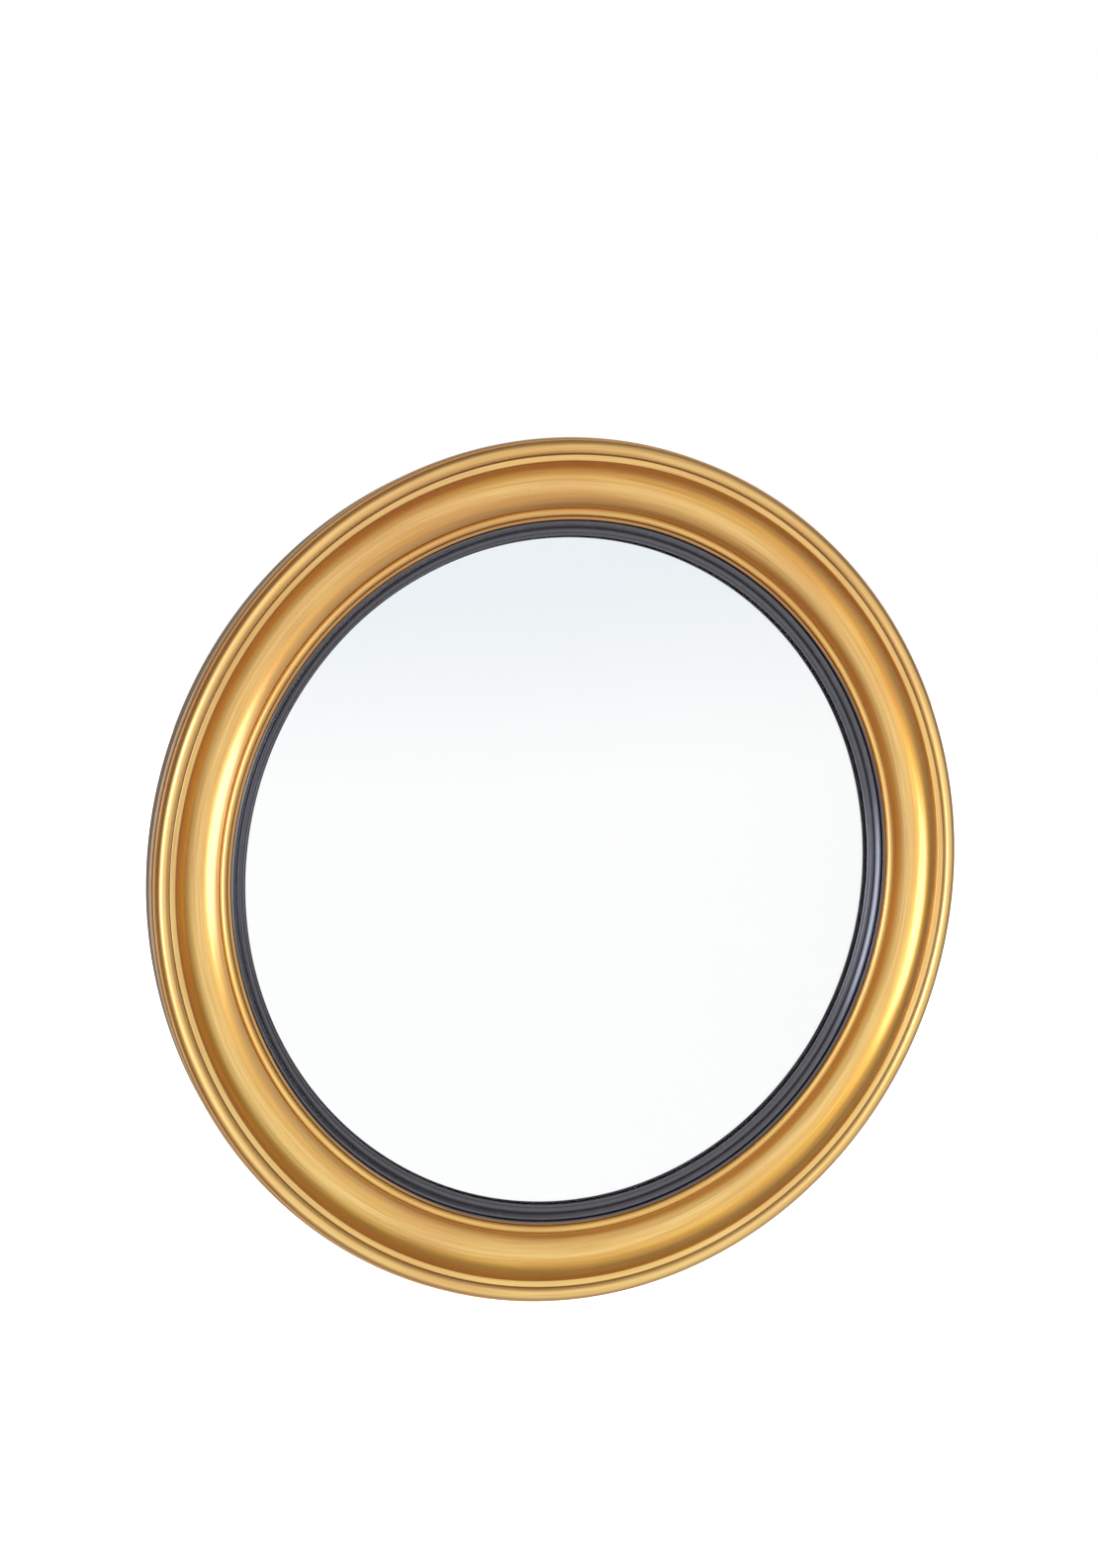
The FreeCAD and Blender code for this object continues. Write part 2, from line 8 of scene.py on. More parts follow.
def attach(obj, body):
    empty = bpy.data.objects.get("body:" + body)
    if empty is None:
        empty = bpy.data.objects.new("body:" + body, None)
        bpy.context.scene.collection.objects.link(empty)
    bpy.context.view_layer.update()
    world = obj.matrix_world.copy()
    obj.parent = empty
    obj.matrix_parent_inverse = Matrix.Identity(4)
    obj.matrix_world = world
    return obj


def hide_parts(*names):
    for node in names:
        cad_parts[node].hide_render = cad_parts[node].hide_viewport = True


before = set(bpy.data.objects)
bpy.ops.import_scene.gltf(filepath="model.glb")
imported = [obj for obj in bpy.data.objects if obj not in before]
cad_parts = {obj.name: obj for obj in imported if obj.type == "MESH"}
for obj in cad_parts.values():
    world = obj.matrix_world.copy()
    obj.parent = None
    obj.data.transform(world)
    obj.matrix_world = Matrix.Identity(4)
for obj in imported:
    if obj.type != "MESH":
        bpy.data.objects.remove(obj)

for leftover in ("Cube", "Light", "Camera"):
    if leftover in bpy.data.objects:
        bpy.data.objects.remove(bpy.data.objects[leftover])

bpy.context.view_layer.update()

MM = 0.001

# ---------------------------------------------------------------- camera

SIGHT_PLANE = -18.05 * MM
CAMERA_PLACE = (-0.76828, SIGHT_PLANE - 1.82766, 0.26347)
CAMERA_AIM = (-0.01395, SIGHT_PLANE, 0.05948)
FOCAL_PIXELS = 3069.9
LONG_SIDE = 1585

camera = bpy.data.objects.new("camera", bpy.data.cameras.new("camera"))
bpy.context.scene.collection.objects.link(camera)
camera.location = CAMERA_PLACE
camera.rotation_euler = (Vector(CAMERA_AIM) - Vector(CAMERA_PLACE)).to_track_quat("-Z", "Y").to_euler()
camera.data.lens = camera.data.sensor_width * FOCAL_PIXELS / LONG_SIDE
bpy.context.scene.camera = camera
bpy.context.scene.view_settings.view_transform = "Standard"

# ---------------------------------------------------------------- meshes

ARRIS_STEPS = (0, 0.25, 0.5, 0.75, 1)
ARRIS_ROOM = 1.3


def arc_points(start, end, rise, step):
    """Points from start up to end, which is left out, on the arc that rises to the right of the
    way. A negative rise gives a hollow, and none a straight run."""
    (x0, y0), (x1, y1) = start, end
    chord = math.hypot(x1 - x0, y1 - y0)
    if rise == 0:
        count = max(1, round(chord / step))
        return [(x0 + (x1 - x0) * i / count, y0 + (y1 - y0) * i / count) for i in range(count)]
    radius = chord**2 / (8 * abs(rise)) + abs(rise) / 2
    side = 1 if rise > 0 else -1
    left = (-(y1 - y0) / chord, (x1 - x0) / chord)
    away = radius - abs(rise)
    centre = ((x0 + x1) / 2 + left[0] * away * side, (y0 + y1) / 2 + left[1] * away * side)
    first = math.atan2(y0 - centre[1], x0 - centre[0])
    sweep = 2 * math.asin(min(1, chord / 2 / radius)) * side
    count = max(4, round(radius * abs(sweep) / step))
    angles = [first + sweep * i / count for i in range(count)]
    return [(centre[0] + radius * math.cos(a), centre[1] + radius * math.sin(a)) for a in angles]


def soft_outline(corners, step=0.8):
    """A closed outline in millimetres. Each corner is (radius, height, rise of the side that
    follows, softening), and its arris is rounded over the softening's length each way. Points
    of a side stay clear of an arris by ARRIS_ROOM times its softening."""
    runs = []
    for i, corner in enumerate(corners):
        following = corners[(i + 1) % len(corners)]
        runs.append(arc_points(corner[:2], following[:2], corner[2], step) + [following[:2]])
    outline = []
    for i, corner in enumerate(corners):
        before, after = runs[i - 1], runs[i]
        cut = corner[3]
        near = walk(before[::-1], cut)
        far = walk(after, cut)
        for t in ARRIS_STEPS:
            shares = ((1 - t) ** 2, 2 * t * (1 - t), t**2)
            three = list(zip(shares, (near, corner, far)))
            outline.append(tuple(sum(share * point[k] for share, point in three) for k in (0, 1)))
        reach = corners[(i + 1) % len(corners)][3]
        inner = [p for p in after[1:-1] if math.dist(p, corner[:2]) > cut * ARRIS_ROOM]
        outline += [p for p in inner if math.dist(p, after[-1]) > reach * ARRIS_ROOM]
    return outline


def walk(points, length):
    """The point at a length along a run of points."""
    for a, b in zip(points, points[1:]):
        step = math.dist(a, b)
        if length <= step:
            return tuple(a[k] + (b[k] - a[k]) * length / step for k in (0, 1))
        length -= step
    return points[-1]


def shown(name, mesh, body, nodes, materials):
    """A new piece from a mesh, riding on a body and standing for CAD nodes."""
    piece = bpy.data.objects.new(name, mesh)
    bpy.context.scene.collection.objects.link(piece)
    for material in materials:
        mesh.materials.append(material)
    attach(piece, body)
    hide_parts(*nodes)


def turned(name, outline, segments, sway=None):
    """A mesh turned about the mirror's axis from an outline in millimetres. A closed outline
    makes a ring, and one that starts and ends on the axis makes a disc. sway gives the small
    shift in radius and height of a point that a hand tool leaves."""
    build = bmesh.new()
    rows = []
    for radius, height in outline:
        if radius < 1e-6:
            rows.append([build.verts.new((0, -height * MM, 0))])
            continue
        row = []
        for i in range(segments):
            angle = 2 * math.pi * i / segments
            out, up = sway(radius, angle) if sway else (0, 0)
            reach = (radius + out) * MM
            place = (reach * math.cos(angle), -(height + up) * MM, reach * math.sin(angle))
            row.append(build.verts.new(place))
        rows.append(row)
    is_disc = outline[0][0] < 1e-6
    pairs = list(zip(rows, rows[1:])) + ([] if is_disc else [(rows[-1], rows[0])])
    for low, high in pairs:
        for i in range(segments):
            j = (i + 1) % segments
            if len(low) == 1:
                build.faces.new((low[0], high[j], high[i]))
            elif len(high) == 1:
                build.faces.new((low[i], low[j], high[0]))
            else:
                build.faces.new((low[i], low[j], high[j], high[i]))
    bmesh.ops.recalc_face_normals(build, faces=build.faces)
    mesh = bpy.data.meshes.new(name)
    build.to_mesh(mesh)
    build.free()
    for face in mesh.polygons:
        face.use_smooth = True
    return mesh


# ---------------------------------------------------------------- finishes

PAINT_LINE = 231.1 * MM
PAINT_BLUR = 0.07 * MM
WOOD_SEGMENTS = 8
SCREEN_PITCH = 1.4 * MM
SCRATCH = 0.02 * MM


def add_node(tree, kind, inputs=(), **settings):
    """A node with its settings, and its inputs from numbers or from other nodes' outputs."""
    node = tree.nodes.new(kind)
    for name, setting in settings.items():
        setattr(node, name, setting)
    for key, source in dict(inputs).items():
        if isinstance(source, bpy.types.NodeSocket):
            tree.links.new(source, node.inputs[key])
        else:
            node.inputs[key].default_value = source
    return node


class Finish:
    """A material under construction, with short ways to add nodes to it."""

    def __init__(self, name):
        self.material = bpy.data.materials.new(name)
        self.material.use_nodes = True
        self.tree = self.material.node_tree
        self.tree.nodes.clear()
        self.output = self.add("ShaderNodeOutputMaterial")
        self.place = self.add("ShaderNodeTexCoord").outputs["Object"]

    def add(self, kind, inputs=(), **settings):
        return add_node(self.tree, kind, inputs, **settings)

    def math(self, operation, first, second=0.0):
        pair = {0: first, 1: second}
        return self.add("ShaderNodeMath", pair, operation=operation).outputs[0]

    def vector(self, operation, first, second):
        pair = {0: first, 1: second}
        return self.add("ShaderNodeVectorMath", pair, operation=operation).outputs[0]

    def fade(self, source, start, end):
        """0 where the source is at start, 1 at end, and smooth between."""
        inputs = {"Value": source, "From Min": start, "From Max": end}
        return self.add("ShaderNodeMapRange", inputs, interpolation_type="SMOOTHSTEP").outputs[0]

    def spread(self, source, low, high):
        """low where the source is 0, high at 1, and straight between."""
        inputs = {"Value": source, "To Min": low, "To Max": high}
        return self.add("ShaderNodeMapRange", inputs).outputs[0]

    def share(self, source, most):
        """A part of a level, or a level in other units."""
        return self.math("MULTIPLY", source, most)

    def noise(self, vector, scale, detail=2.0, w=None, roughness=0.5):
        inputs = {"Vector": vector, "Scale": scale, "Detail": detail, "Roughness": roughness}
        if w is None:
            return self.add("ShaderNodeTexNoise", inputs).outputs[0]
        inputs["W"] = w
        return self.add("ShaderNodeTexNoise", inputs, noise_dimensions="4D").outputs[0]

    def mix(self, factor, first, second, blend="MIX"):
        inputs = {0: factor, 6: first, 7: second}
        node = self.add("ShaderNodeMix", inputs, data_type="RGBA", blend_type=blend)
        return node.outputs[2]

    def ramp(self, factor, stops):
        """A greyscale ramp through (position, level) stops."""
        node = self.add("ShaderNodeValToRGB", {0: factor})
        ends = node.color_ramp.elements
        while len(ends) < len(stops):
            ends.new(0.5)
        for end, (position, level) in zip(ends, stops):
            end.position = position
            end.color = (level, level, level, 1)
        return node.outputs[0]

    def profile(self, radius, stops):
        """A level that goes with the radius, through (millimetres, level) stops."""
        start, end = stops[0][0], stops[-1][0]
        inputs = {"Value": radius, "From Min": start * MM, "From Max": end * MM}
        across = self.add("ShaderNodeMapRange", inputs).outputs[0]
        return self.ramp(across, [((r - start) / (end - start), level) for r, level in stops])

    def bump(self, height, distance, before=None):
        inputs = {"Height": height, "Distance": distance, "Strength": 1.0}
        if before is not None:
            inputs["Normal"] = before
        return self.add("ShaderNodeBump", inputs).outputs[0]

    def blend(self, factor, first, second):
        """The first shader at 0, the second at 1."""
        return self.add("ShaderNodeMixShader", {0: factor, 1: first, 2: second}).outputs[0]

    def surface(self, **sockets):
        """A principled shader. Names are its sockets' with _ for a space."""
        inputs = {name.replace("_", " "): source for name, source in sockets.items()}
        return self.add("ShaderNodeBsdfPrincipled", inputs).outputs[0]

    def done(self, shader):
        self.tree.links.new(shader, self.output.inputs["Surface"])
        return self.material

    def ring_place(self):
        """Where a point of a turned ring is: its radius, its height and the way out to it."""
        parts = self.add("ShaderNodeSeparateXYZ", {0: self.place}).outputs
        flat = self.add("ShaderNodeCombineXYZ", {0: parts[0], 2: parts[2]}).outputs[0]
        radius = self.add("ShaderNodeVectorMath", {0: flat}, operation="LENGTH").outputs["Value"]
        around = self.add("ShaderNodeVectorMath", {0: flat}, operation="NORMALIZE").outputs[0]
        return radius, parts[1], around

    def streaks(self, ring, run, across, detail=2.0):
        """Noise drawn out round the ring. run is how many streaks follow each other in a radian
        and across is how many lie side by side in a metre."""
        radius, height, around = ring
        stretched = self.vector("MULTIPLY", around, (run, run, run))
        side = self.add("ShaderNodeCombineXYZ", {1: self.math("MULTIPLY", radius, across)})
        place = self.vector("ADD", stretched, side.outputs[0])
        return self.noise(place, 1.0, detail, self.math("MULTIPLY", height, across))

    def paint_line(self, ring):
        """How far a point lies outside the line where the black and the gold paint meet, which
        wanders as the brush went round."""
        radius, _, around = ring
        slow = self.share(self.noise(around, 2.3, 1.0), 0.0014)
        quick = self.share(self.noise(around, 11.0, 3.0), 0.0009)
        off_centre = {0: around, 1: (0.0009, 0, -0.0009)}
        lean = self.add("ShaderNodeVectorMath", off_centre, operation="DOT_PRODUCT").outputs["Value"]
        wander = self.math("ADD", self.math("ADD", slow, quick), lean)
        return self.math("SUBTRACT", radius, self.math("ADD", wander, PAINT_LINE))


# Across the moulding, by radius in millimetres: how far the gold darkens in a recess, partly dark glaze and
# partly painted shade; how far it turns a deeper orange on the steep sides, which is painted shade; and how
# far the slip's shine is tinted down between its reeds, partly dust and wax and partly painted shade.
RECESS_GLAZE_AND_SHADE = [
    (232.0, 0.45),
    (234.3, 0.70),
    (235.0, 0.05),
    (239.2, 0.0),
    (240.0, 0.5),
    (242.6, 0.5),
    (246.0, 0.26),
    (254.0, 0.0),
    (262.0, 0.0),
    (265.2, 0.30),
    (267.0, 0.46),
    (269.6, 0.7),
    (270.4, 0.0),
    (273.4, 0.0),
    (274.2, 0.95),
    (275.2, 0.2),
    (276.3, 0.0),
    (281.2, 0.0),
    (282.4, 0.7),
    (283.0, 0.5),
    (284.0, 0.2),
    (285.5, 0.1),
]
# painted shade: where the gold turns a deeper orange on steep sides
ORANGE_SIDE_SHADE = [
    (235.0, 0.8),
    (236.0, 0.3),
    (241.5, 0.3),
    (244.1, 0.65),
    (246.5, 0.65),
    (249.0, 0.4),
    (251.8, 0.05),
    (256.0, 0.0),
    (259.5, 0.45),
    (262.3, 1.0),
    (267.0, 0.95),
    (269.5, 0.7),
    (270.6, 0.2),
    (271.5, 0.0),
    (281.0, 0.0),
    (282.5, 0.9),
    (283.6, 0.8),
    (284.4, 0.1),
]
# partly dust and wax, partly painted shade: where the slip's shine is tinted down
REED_VALLEY_DUST_AND_SHADE = [
    (225.4, 0.0),
    (226.3, 0.9),
    (226.8, 1.0),
    (227.4, 1.0),
    (228.5, 0.0),
]


def gilt_tone(finish, ring, line, fine):
    """The colour of the gilding: streaked and clouded gold, with painted shade as a deeper orange on steep
    sides, brown in recesses (partly dark glaze, partly painted shade), earthy on the frame's flank, darker
    towards the top and dark beside the black paint."""
    radius, height, around = ring
    broad = finish.streaks(ring, 2.5, 420.0, 2.0)
    cloud = finish.noise(finish.place, 14.0, 3.0)
    tone = finish.mix(finish.fade(broad, 0.35, 0.68), (0.94, 0.64, 0.20, 1), (0.83, 0.505, 0.115, 1))
    tone = finish.mix(finish.share(finish.fade(fine, 0.45, 0.72), 0.42), tone, (0.56, 0.29, 0.07, 1))
    tone = finish.mix(finish.share(finish.fade(cloud, 0.45, 0.7), 0.25), tone, (0.74, 0.38, 0.12, 1))
    # painted shade: the steep sides turn a deeper orange, as gold lit by its own reflection does
    tone = finish.mix(finish.profile(radius, ORANGE_SIDE_SHADE), tone, (0.92, 0.73, 0.18, 1), "MULTIPLY")
    # partly dark glaze, partly painted shade: the gold turns brown in the recesses
    tone = finish.mix(finish.profile(radius, RECESS_GLAZE_AND_SHADE), tone, (0.30, 0.13, 0.028, 1))
    outside = finish.fade(radius, 0.2805, 0.2828)
    below_bead = finish.fade(height, -0.0300, -0.0292)
    flank = finish.math("MULTIPLY", outside, below_bead)
    tone = finish.mix(finish.share(flank, 0.7), tone, (0.34, 0.205, 0.095, 1))
    # darker and browner towards the top of the ring
    up = finish.add("ShaderNodeSeparateXYZ", {0: around}).outputs[2]
    tone = finish.mix(finish.fade(up, -0.7, 0.9), tone, (0.94, 0.88, 0.86, 1), "MULTIPLY")
    speck = finish.noise(finish.place, 900.0, 1.0)
    tone = finish.mix(finish.share(finish.fade(speck, 0.74, 0.80), 0.5), tone, (0.10, 0.045, 0.012, 1))
    return finish.mix(finish.fade(line, 0.0010, 0.0002), tone, (0.16, 0.075, 0.04, 1))


def gilt_coat(finish, ring, line):
    """Satin gold paint over gesso, brushed round the moulding, under a clear varnish."""
    radius = ring[0]
    fine = finish.streaks(ring, 5.0, 950.0, 3.0)
    tone = gilt_tone(finish, ring, line, fine)
    grain = finish.noise(finish.place, 1800.0, 2.0)
    bump = finish.bump(grain, 0.000003, finish.bump(fine, 0.000010))
    edge = finish.share(finish.fade(radius, 0.2826, 0.2832), 0.35)
    inner_bead = finish.fade(radius, 0.2402, 0.2396)
    outer_bead = finish.fade(radius, 0.2735, 0.2741)
    beads = finish.share(finish.math("ADD", inner_bead, outer_bead), 0.13)
    rough = finish.math("ADD", finish.spread(fine, 0.29, 0.39), finish.math("MAXIMUM", edge, beads))
    return finish.surface(
        Base_Color=tone,
        Metallic=1.0,
        Roughness=rough,
        Normal=bump,
        Coat_Weight=1.0,
        Coat_Roughness=0.22,
        Coat_IOR=1.7,
    )


def ebony_coat(finish, ring):
    """Brushed black lacquer with a dull bloom, whose shine is tinted down in the valley between the reeds:
    partly dust and wax, partly painted shade.
    """
    fine = finish.streaks(ring, 14.0, 2200.0, 3.0)
    cloud = finish.noise(finish.place, 60.0, 3.0)
    tone = finish.mix(cloud, (0.006, 0.006, 0.008, 1), (0.012, 0.012, 0.015, 1))
    bloom = finish.fade(finish.noise(finish.place, 240.0, 2.0), 0.5, 0.8)
    tone = finish.mix(finish.share(bloom, 0.6), tone, (0.03, 0.028, 0.04, 1))
    rough = finish.spread(cloud, 0.16, 0.30)
    # partly dust and wax, partly painted shade: the shine is tinted down in the valley between the reeds
    valley = finish.profile(ring[0], REED_VALLEY_DUST_AND_SHADE)
    shine = finish.mix(valley, (0.95, 0.93, 1.0, 1), (0.22, 0.22, 0.24, 1))
    bump = finish.bump(fine, 0.00002)
    return finish.surface(Base_Color=tone, Roughness=rough, IOR=2.0, Specular_Tint=shine, Normal=bump)


def bare_wood(finish, ring):
    """The unpainted back of the frame: joined segments of a pale close-grained wood."""
    segment = 2 * math.pi / WOOD_SEGMENTS
    parts = finish.add("ShaderNodeSeparateXYZ", {0: finish.place}).outputs
    angle = finish.math("ARCTAN2", parts[2], parts[0])
    turn = finish.math("ADD", finish.share(angle, 1 / segment), 0.25)
    whole = finish.math("FLOOR", turn)
    swing = {"Vector": finish.place, "Axis": (0, 1, 0), "Angle": finish.share(whole, segment)}
    local = finish.add("ShaderNodeVectorRotate", swing, rotation_type="AXIS_ANGLE").outputs[0]
    shift = finish.add("ShaderNodeCombineXYZ", {0: whole, 1: finish.share(whole, 0.37)}).outputs[0]
    local = finish.vector("ADD", local, shift)
    stretched = finish.vector("MULTIPLY", local, (420.0, 420.0, 22.0))
    grain = finish.noise(stretched, 1.0, 4.0)
    broad = finish.noise(finish.vector("MULTIPLY", local, (60.0, 60.0, 5.0)), 1.0, 2.0)
    tone = finish.mix(broad, (0.56, 0.38, 0.22, 1), (0.43, 0.27, 0.145, 1))
    tone = finish.mix(finish.share(finish.fade(grain, 0.45, 0.7), 0.5), tone, (0.22, 0.125, 0.06, 1))
    part = finish.math("FRACT", turn)
    nearest = finish.math("MINIMUM", part, finish.math("SUBTRACT", 1.0, part))
    joint = finish.fade(finish.math("MULTIPLY", nearest, ring[0]), 0.0005, 0.00015)
    tone = finish.mix(joint, tone, (0.10, 0.055, 0.03, 1))
    bump = finish.bump(grain, 0.0001)
    return finish.surface(Base_Color=tone, Roughness=0.72, Normal=bump)


def painted(finish, ring):
    """Black inside the paint line, gilt outside it."""
    line = finish.paint_line(ring)
    side = finish.fade(line, -PAINT_BLUR, PAINT_BLUR)
    return finish.blend(side, ebony_coat(finish, ring), gilt_coat(finish, ring, line))


def frame_finish():
    """Painted in front, with a ragged edge to the bare wood at the back."""
    finish = Finish("gilt_moulding")
    ring = finish.ring_place()
    ragged = finish.share(finish.noise(finish.place, 70.0, 4.0), 0.0030)
    behind = finish.fade(finish.math("ADD", ring[1], ragged), -0.0052, -0.0044)
    return finish.done(finish.blend(behind, painted(finish, ring), bare_wood(finish, ring)))


def slip_finish():
    finish = Finish("ebony_slip")
    return finish.done(painted(finish, finish.ring_place()))


def glass_finish():
    finish = Finish("clear_glass")
    sway = finish.noise(finish.place, 6.0, 1.0)
    bump = finish.bump(sway, 0.0000005)
    clear = (0.995, 1.0, 0.998, 1)
    shader = finish.surface(Base_Color=clear, Roughness=0.0, IOR=1.52, Transmission_Weight=1.0, Normal=bump)
    return finish.done(shader)


def silver_finish():
    finish = Finish("silver_backing")
    cloud = finish.noise(finish.place, 9.0, 2.0)
    tone = finish.mix(cloud, (0.985, 0.987, 0.99, 1), (1.0, 1.0, 1.0, 1))
    shader = finish.surface(Base_Color=tone, Metallic=1.0, Roughness=0.0)
    return finish.done(shader)


def metal_finish(name, light, dark, rough):
    """Plated metal with clouded plating and fine handling scratches."""
    finish = Finish(name)
    cloud = finish.noise(finish.place, 220.0, 3.0)
    tone = finish.mix(finish.fade(cloud, 0.35, 0.7), light, dark)
    lines = finish.noise(finish.vector("MULTIPLY", finish.place, (900.0, 900.0, 5200.0)), 1.0, 3.0)
    bump = finish.bump(lines, SCRATCH)
    level = finish.spread(cloud, *rough)
    return finish.done(finish.surface(Base_Color=tone, Metallic=1.0, Roughness=level, Normal=bump))


def board_finish():
    """Hardboard with its screened side outwards."""
    finish = Finish("hardboard")
    fibre = finish.noise(finish.place, 420.0, 4.0)
    cloud = finish.noise(finish.place, 16.0, 3.0)
    tone = finish.mix(cloud, (0.235, 0.130, 0.066, 1), (0.165, 0.088, 0.044, 1))
    tone = finish.mix(finish.share(finish.fade(fibre, 0.5, 0.72), 0.55), tone, (0.36, 0.23, 0.13, 1))
    parts = finish.add("ShaderNodeSeparateXYZ", {0: finish.place}).outputs
    waves = 2 * math.pi / SCREEN_PITCH
    rows = finish.math("SINE", finish.share(parts[0], waves))
    files = finish.math("SINE", finish.share(parts[2], waves))
    screen = finish.math("MULTIPLY", rows, files)
    bump = finish.bump(screen, 0.00012)
    bump = finish.bump(fibre, 0.0001, bump)
    return finish.done(finish.surface(Base_Color=tone, Roughness=0.78, Normal=bump))


def soft_finish(name, light, dark, scale, depth, sheen=0.0):
    """Felt, foam or rubber: a mottled matt surface with a fine nap or pores."""
    finish = Finish(name)
    nap = finish.noise(finish.place, scale, 4.0, roughness=0.7)
    cloud = finish.noise(finish.place, scale / 12, 2.0)
    tone = finish.mix(finish.fade(nap, 0.4, 0.65), light, dark)
    tone = finish.mix(finish.share(cloud, 0.3), tone, dark)
    bump = finish.bump(nap, depth)
    return finish.done(finish.surface(Base_Color=tone, Roughness=0.85, Sheen_Weight=sheen, Normal=bump))


# ---------------------------------------------------------------- frame and slip

SEGMENTS = 512
FRAME_OUTLINE = [
    (236.2, 5.0, 0, 0.4),  # back
    (281.4, 5.0, 0, 0.5),
    (282.4, 6.0, 0, 0.5),  # side wall
    (285.0, 23.85, 0, 0.25),  # quirk in the side wall
    (283.3, 24.25, 0, 0.2),
    (284.1, 24.65, 0, 0.25),  # band over the quirk
    (284.1, 29.85, 0, 0.5),
    (282.7, 29.85, 0, 0.2),
    (282.5, 29.45, 3.7, 0.2),  # outer bead
    (274.7, 31.95, 0, 0.3),  # groove
    (274.2, 31.15, 0, 0.25),
    (273.7, 31.95, 0, 0.3),  # fillet
    (270.0, 31.2, 0, 0.4),
    (269.5, 29.45, -7.6, 0.5),  # scoop
    (240.2, 22.95, 0, 0.25),
    (239.9, 22.15, 0, 0.15),
    (239.6, 22.95, 2.3, 0.25),  # inner bead
    (234.6, 22.95, 0, 0.25),
    (234.3, 22.15, 0, 0.15),
    (234.0, 22.95, 0, 0.2),  # lip over the slip
    (232.0, 22.95, 0, 0.4),
    (232.0, 21.25, 0, 0.3),
    (236.2, 21.25, 0, 0.3),  # wall of the rebate
]
SLIP_OUTLINE = [
    (221.5, 18.98, 0, 0.15),  # seat of the felt
    (236.0, 15.0, 0, 0.3),
    (236.0, 21.05, 0, 0.3),
    (231.8, 21.05, 0.55, 0.2),  # narrow reed
    (229.6, 22.0, 0, 0.3),  # slope
    (227.15, 20.031, 0, 0.15),
    (226.65, 20.281, 0.4, 0.2),  # wide reed
    (223.5, 19.98, 0, 0.12),
    (223.3, 19.72, 0, 0.08),
    (223.1, 19.93, 0.12, 0.12),
    (222.0, 19.682, 0, 0.25),
    (221.5, 19.432, 0, 0.12),  # sight edge
]


def hand_sway(radius, angle):
    """The lacquered reeds aren't quite true: a shift of up to a tenth of a millimetre or so."""
    place = Vector((3 * math.cos(angle), 3 * math.sin(angle), radius * 0.35))
    shift = noise.noise(place)
    return 0.10 * shift, 0.08 * noise.noise(place + Vector((9, 4, 7)))


def make_frame():
    mesh = turned("moulding", soft_outline(FRAME_OUTLINE), SEGMENTS)
    shown("moulding", mesh, "frame", ("frame_ring",), [frame_finish()])


def make_slip():
    mesh = turned("slip", soft_outline(SLIP_OUTLINE, 0.5), SEGMENTS, hand_sway)
    shown("slip", mesh, "frame", ("slip_ring",), [slip_finish()])


# ---------------------------------------------------------------- glass

GLASS_CENTRE = -802.583
GLASS_CURVE = 850.0
GLASS_THICKNESS = 2.0
GLASS_RADIUS = 234.5
FILM_FRONT = 847.97
FILM_BACK = 847.8
FILM_RADIUS = 234.0
GLASS_SEGMENTS = 256


def cap_outline(front, back, radius, count=56):
    """The outline of a round sheet between two spheres about the glass's centre of curvature."""

    def run(curve):
        reach = [radius * i / count for i in range(count + 1)]
        return [(r, GLASS_CENTRE + math.sqrt(curve**2 - r**2)) for r in reach]

    return run(back) + run(front)[::-1]


def make_glass():
    outline = cap_outline(GLASS_CURVE, GLASS_CURVE - GLASS_THICKNESS, GLASS_RADIUS)
    sheet = turned("glass_sheet", outline, GLASS_SEGMENTS)
    shown("glass_sheet", sheet, "frame", ("mirror_glass",), [glass_finish()])
    film = turned("silver_film", cap_outline(FILM_FRONT, FILM_BACK, FILM_RADIUS), GLASS_SEGMENTS)
    shown("silver_film", film, "frame", ("silvering",), [silver_finish()])


# ---------------------------------------------------------------- light and background


def area_lamp(name, place, aim, width, height, watts, colour):
    data = bpy.data.lights.new(name, "AREA")
    data.shape = "RECTANGLE"
    data.size, data.size_y = width, height
    data.energy = watts
    data.color = colour
    lamp = bpy.data.objects.new(name, data)
    bpy.context.scene.collection.objects.link(lamp)
    lamp.location = place
    lamp.rotation_euler = (Vector(aim) - Vector(place)).to_track_quat("-Z", "Y").to_euler()
    lamp.visible_camera = False


def bearing(azimuth, elevation, distance):
    """A place at an azimuth left (negative) or right of the mirror's axis, and an elevation."""
    a, e = math.radians(azimuth), math.radians(elevation)
    return Vector((math.sin(a) * math.cos(e), -math.cos(a) * math.cos(e), math.sin(e))) * distance


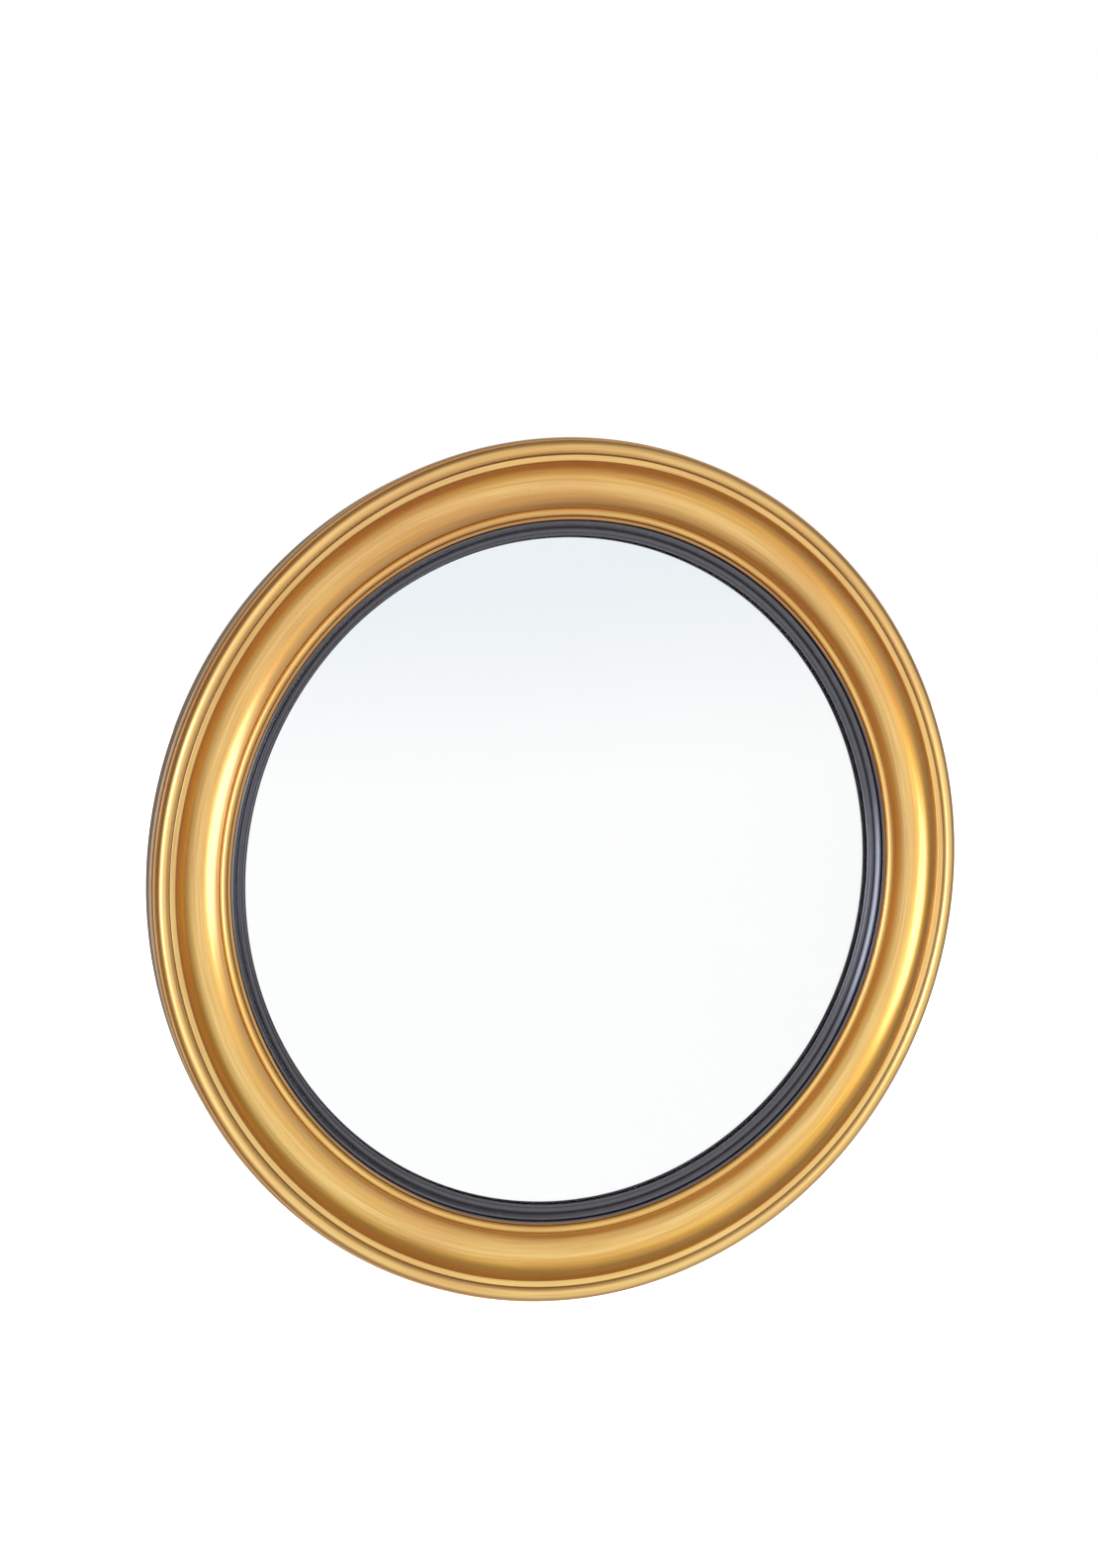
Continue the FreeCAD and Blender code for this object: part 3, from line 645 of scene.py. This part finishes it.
def make_world():
    """White to the camera. The glass shows a white studio, cool high up and dimmer far to the side.
    Glossy coats show one that is bright in front of the mirror and dim all round it, least so
    below. Anything else gets a slightly weaker even light."""
    world = bpy.data.worlds.new("studio")
    bpy.context.scene.world = world
    world.use_nodes = True
    tree = world.node_tree
    tree.nodes.clear()

    def add(kind, inputs=(), **settings):
        return add_node(tree, kind, inputs, **settings).outputs

    def fade(source, start, end, low, high):
        inputs = {"Value": source, "From Min": start, "From Max": end, "To Min": low, "To Max": high}
        return add("ShaderNodeMapRange", inputs, interpolation_type="SMOOTHSTEP")[0]

    way = add("ShaderNodeTexCoord")["Generated"]
    rise = add("ShaderNodeSeparateXYZ", {0: way})[2]
    flat = add("ShaderNodeVectorMath", {0: way, 1: (1, 1, 0.6)}, operation="MULTIPLY")[0]
    flat = add("ShaderNodeVectorMath", {0: flat}, operation="NORMALIZE")[0]
    middle = bearing(-4, -5, 1.0)
    facing = add("ShaderNodeVectorMath", {0: flat, 1: middle}, operation="DOT_PRODUCT")["Value"]
    wide, narrow = math.cos(math.radians(84)), math.cos(math.radians(22))
    under = fade(rise, -0.85, 0.0, 0.60, 0.16)
    over = fade(rise, 0.0, 0.85, 0.16, 0.36)
    rest = add("ShaderNodeMath", {0: under, 1: over}, operation="MAXIMUM")[0]
    level = fade(facing, wide, narrow, rest, 1.0)
    studio = add("ShaderNodeBackground", {0: (1, 1, 1, 1), 1: level})[0]
    tint = {0: fade(rise, 0.0, 0.42, 0.0, 1.0), 6: (1, 1, 1, 1), 7: (0.85, 0.89, 0.92, 1)}
    cool = add("ShaderNodeMix", tint, data_type="RGBA")[2]
    side = fade(facing, math.cos(math.radians(100)), math.cos(math.radians(75)), 0.3, 1.0)
    glass = add("ShaderNodeBackground", {0: cool, 1: side})[0]
    soft = add("ShaderNodeBackground", {0: (1, 1, 1, 1), 1: 0.9})[0]
    white = add("ShaderNodeBackground", {0: (1, 1, 1, 1), 1: 1.0})[0]
    path = add("ShaderNodeLightPath")
    light = add("ShaderNodeMixShader", {0: path["Is Glossy Ray"], 1: soft, 2: studio})[0]
    light = add("ShaderNodeMixShader", {0: path["Is Transmission Ray"], 1: light, 2: glass})[0]
    light = add("ShaderNodeMixShader", {0: path["Is Camera Ray"], 1: light, 2: white})[0]
    add("ShaderNodeOutputWorld", {"Surface": light})


def make_floor():
    """A pale floor well below the mirror, which shows white to the camera and in no reflection."""
    reach, drop = 12.0, -0.95
    mesh = bpy.data.meshes.new("floor")
    corners = [(-reach, -reach, drop), (reach, -reach, drop), (reach, reach, drop), (-reach, reach, drop)]
    mesh.from_pydata(corners, [], [(0, 1, 2, 3)])
    floor = bpy.data.objects.new("floor", mesh)
    bpy.context.scene.collection.objects.link(floor)
    finish = Finish("pale_floor")
    cloud = finish.noise(finish.place, 2.0, 3.0)
    tone = finish.mix(cloud, (0.86, 0.86, 0.86, 1), (0.90, 0.90, 0.90, 1))
    matt = finish.add("ShaderNodeBsdfDiffuse", {"Color": tone}).outputs[0]
    glow = finish.add("ShaderNodeEmission", {"Strength": 0.75}).outputs[0]
    path = finish.add("ShaderNodeLightPath").outputs
    both = finish.add("ShaderNodeAddShader", {0: matt, 1: glow}).outputs[0]
    mesh.materials.append(finish.done(finish.blend(path["Is Camera Ray"], matt, both)))
    floor.visible_glossy = False
    floor.visible_transmission = False


def make_lights():
    aim = (0, SIGHT_PLANE, 0)
    area_lamp("key", bearing(-39, 2, 2.6), aim, 1.35, 1.5, 33, (0.88, 0.96, 1.2))


# ---------------------------------------------------------------- hardware


def soften(node, width):
    """Round a node's arrises over a width."""
    weld = node.modifiers.new("weld", "WELD")
    weld.merge_threshold = 0.00001
    arris = node.modifiers.new("arris", "BEVEL")
    arris.width = width
    arris.segments = 2
    arris.limit_method = "ANGLE"
    arris.angle_limit = math.radians(35)
    arris.harden_normals = True


def dress_hardware():
    """Finishes and soft arrises for the nodes that keep their own shape."""
    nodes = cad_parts
    felt = soft_finish("felt", (0.05, 0.05, 0.055, 1), (0.02, 0.02, 0.022, 1), 2500.0, 0.0003, 0.5)
    foam = soft_finish("foam", (0.80, 0.80, 0.78, 1), (0.60, 0.60, 0.57, 1), 1800.0, 0.0003)
    rubber = soft_finish("rubber", (0.035, 0.033, 0.032, 1), (0.02, 0.02, 0.02, 1), 1400.0, 0.00005)
    steel = metal_finish("plated_steel", (0.62, 0.62, 0.63, 1), (0.48, 0.48, 0.50, 1), (0.24, 0.42))
    zinc = metal_finish("zinc_screws", (0.66, 0.66, 0.64, 1), (0.50, 0.50, 0.48, 1), (0.28, 0.45))
    brass = metal_finish("brass_plate", (0.80, 0.60, 0.28, 1), (0.62, 0.43, 0.17, 1), (0.22, 0.38))
    looks = {
        "backing_board": board_finish(),
        "sight_gasket": felt,
        "spacer_ring": foam,
        "wall_bumpers": rubber,
    }
    for name in nodes:
        if "screws" in name:
            looks[name] = zinc
        elif name.startswith("turn_button_"):
            looks[name] = steel
        elif name.startswith("hanger_"):
            looks[name] = brass
    for name, material in looks.items():
        for slot in nodes[name].material_slots:
            slot.material = material
        if name not in ("sight_gasket", "spacer_ring"):
            soften(nodes[name], 0.5 * MM if name == "wall_bumpers" else 0.22 * MM)


# ---------------------------------------------------------------- everything

make_frame()
make_slip()
make_glass()
make_world()
make_floor()
make_lights()
dress_hardware()
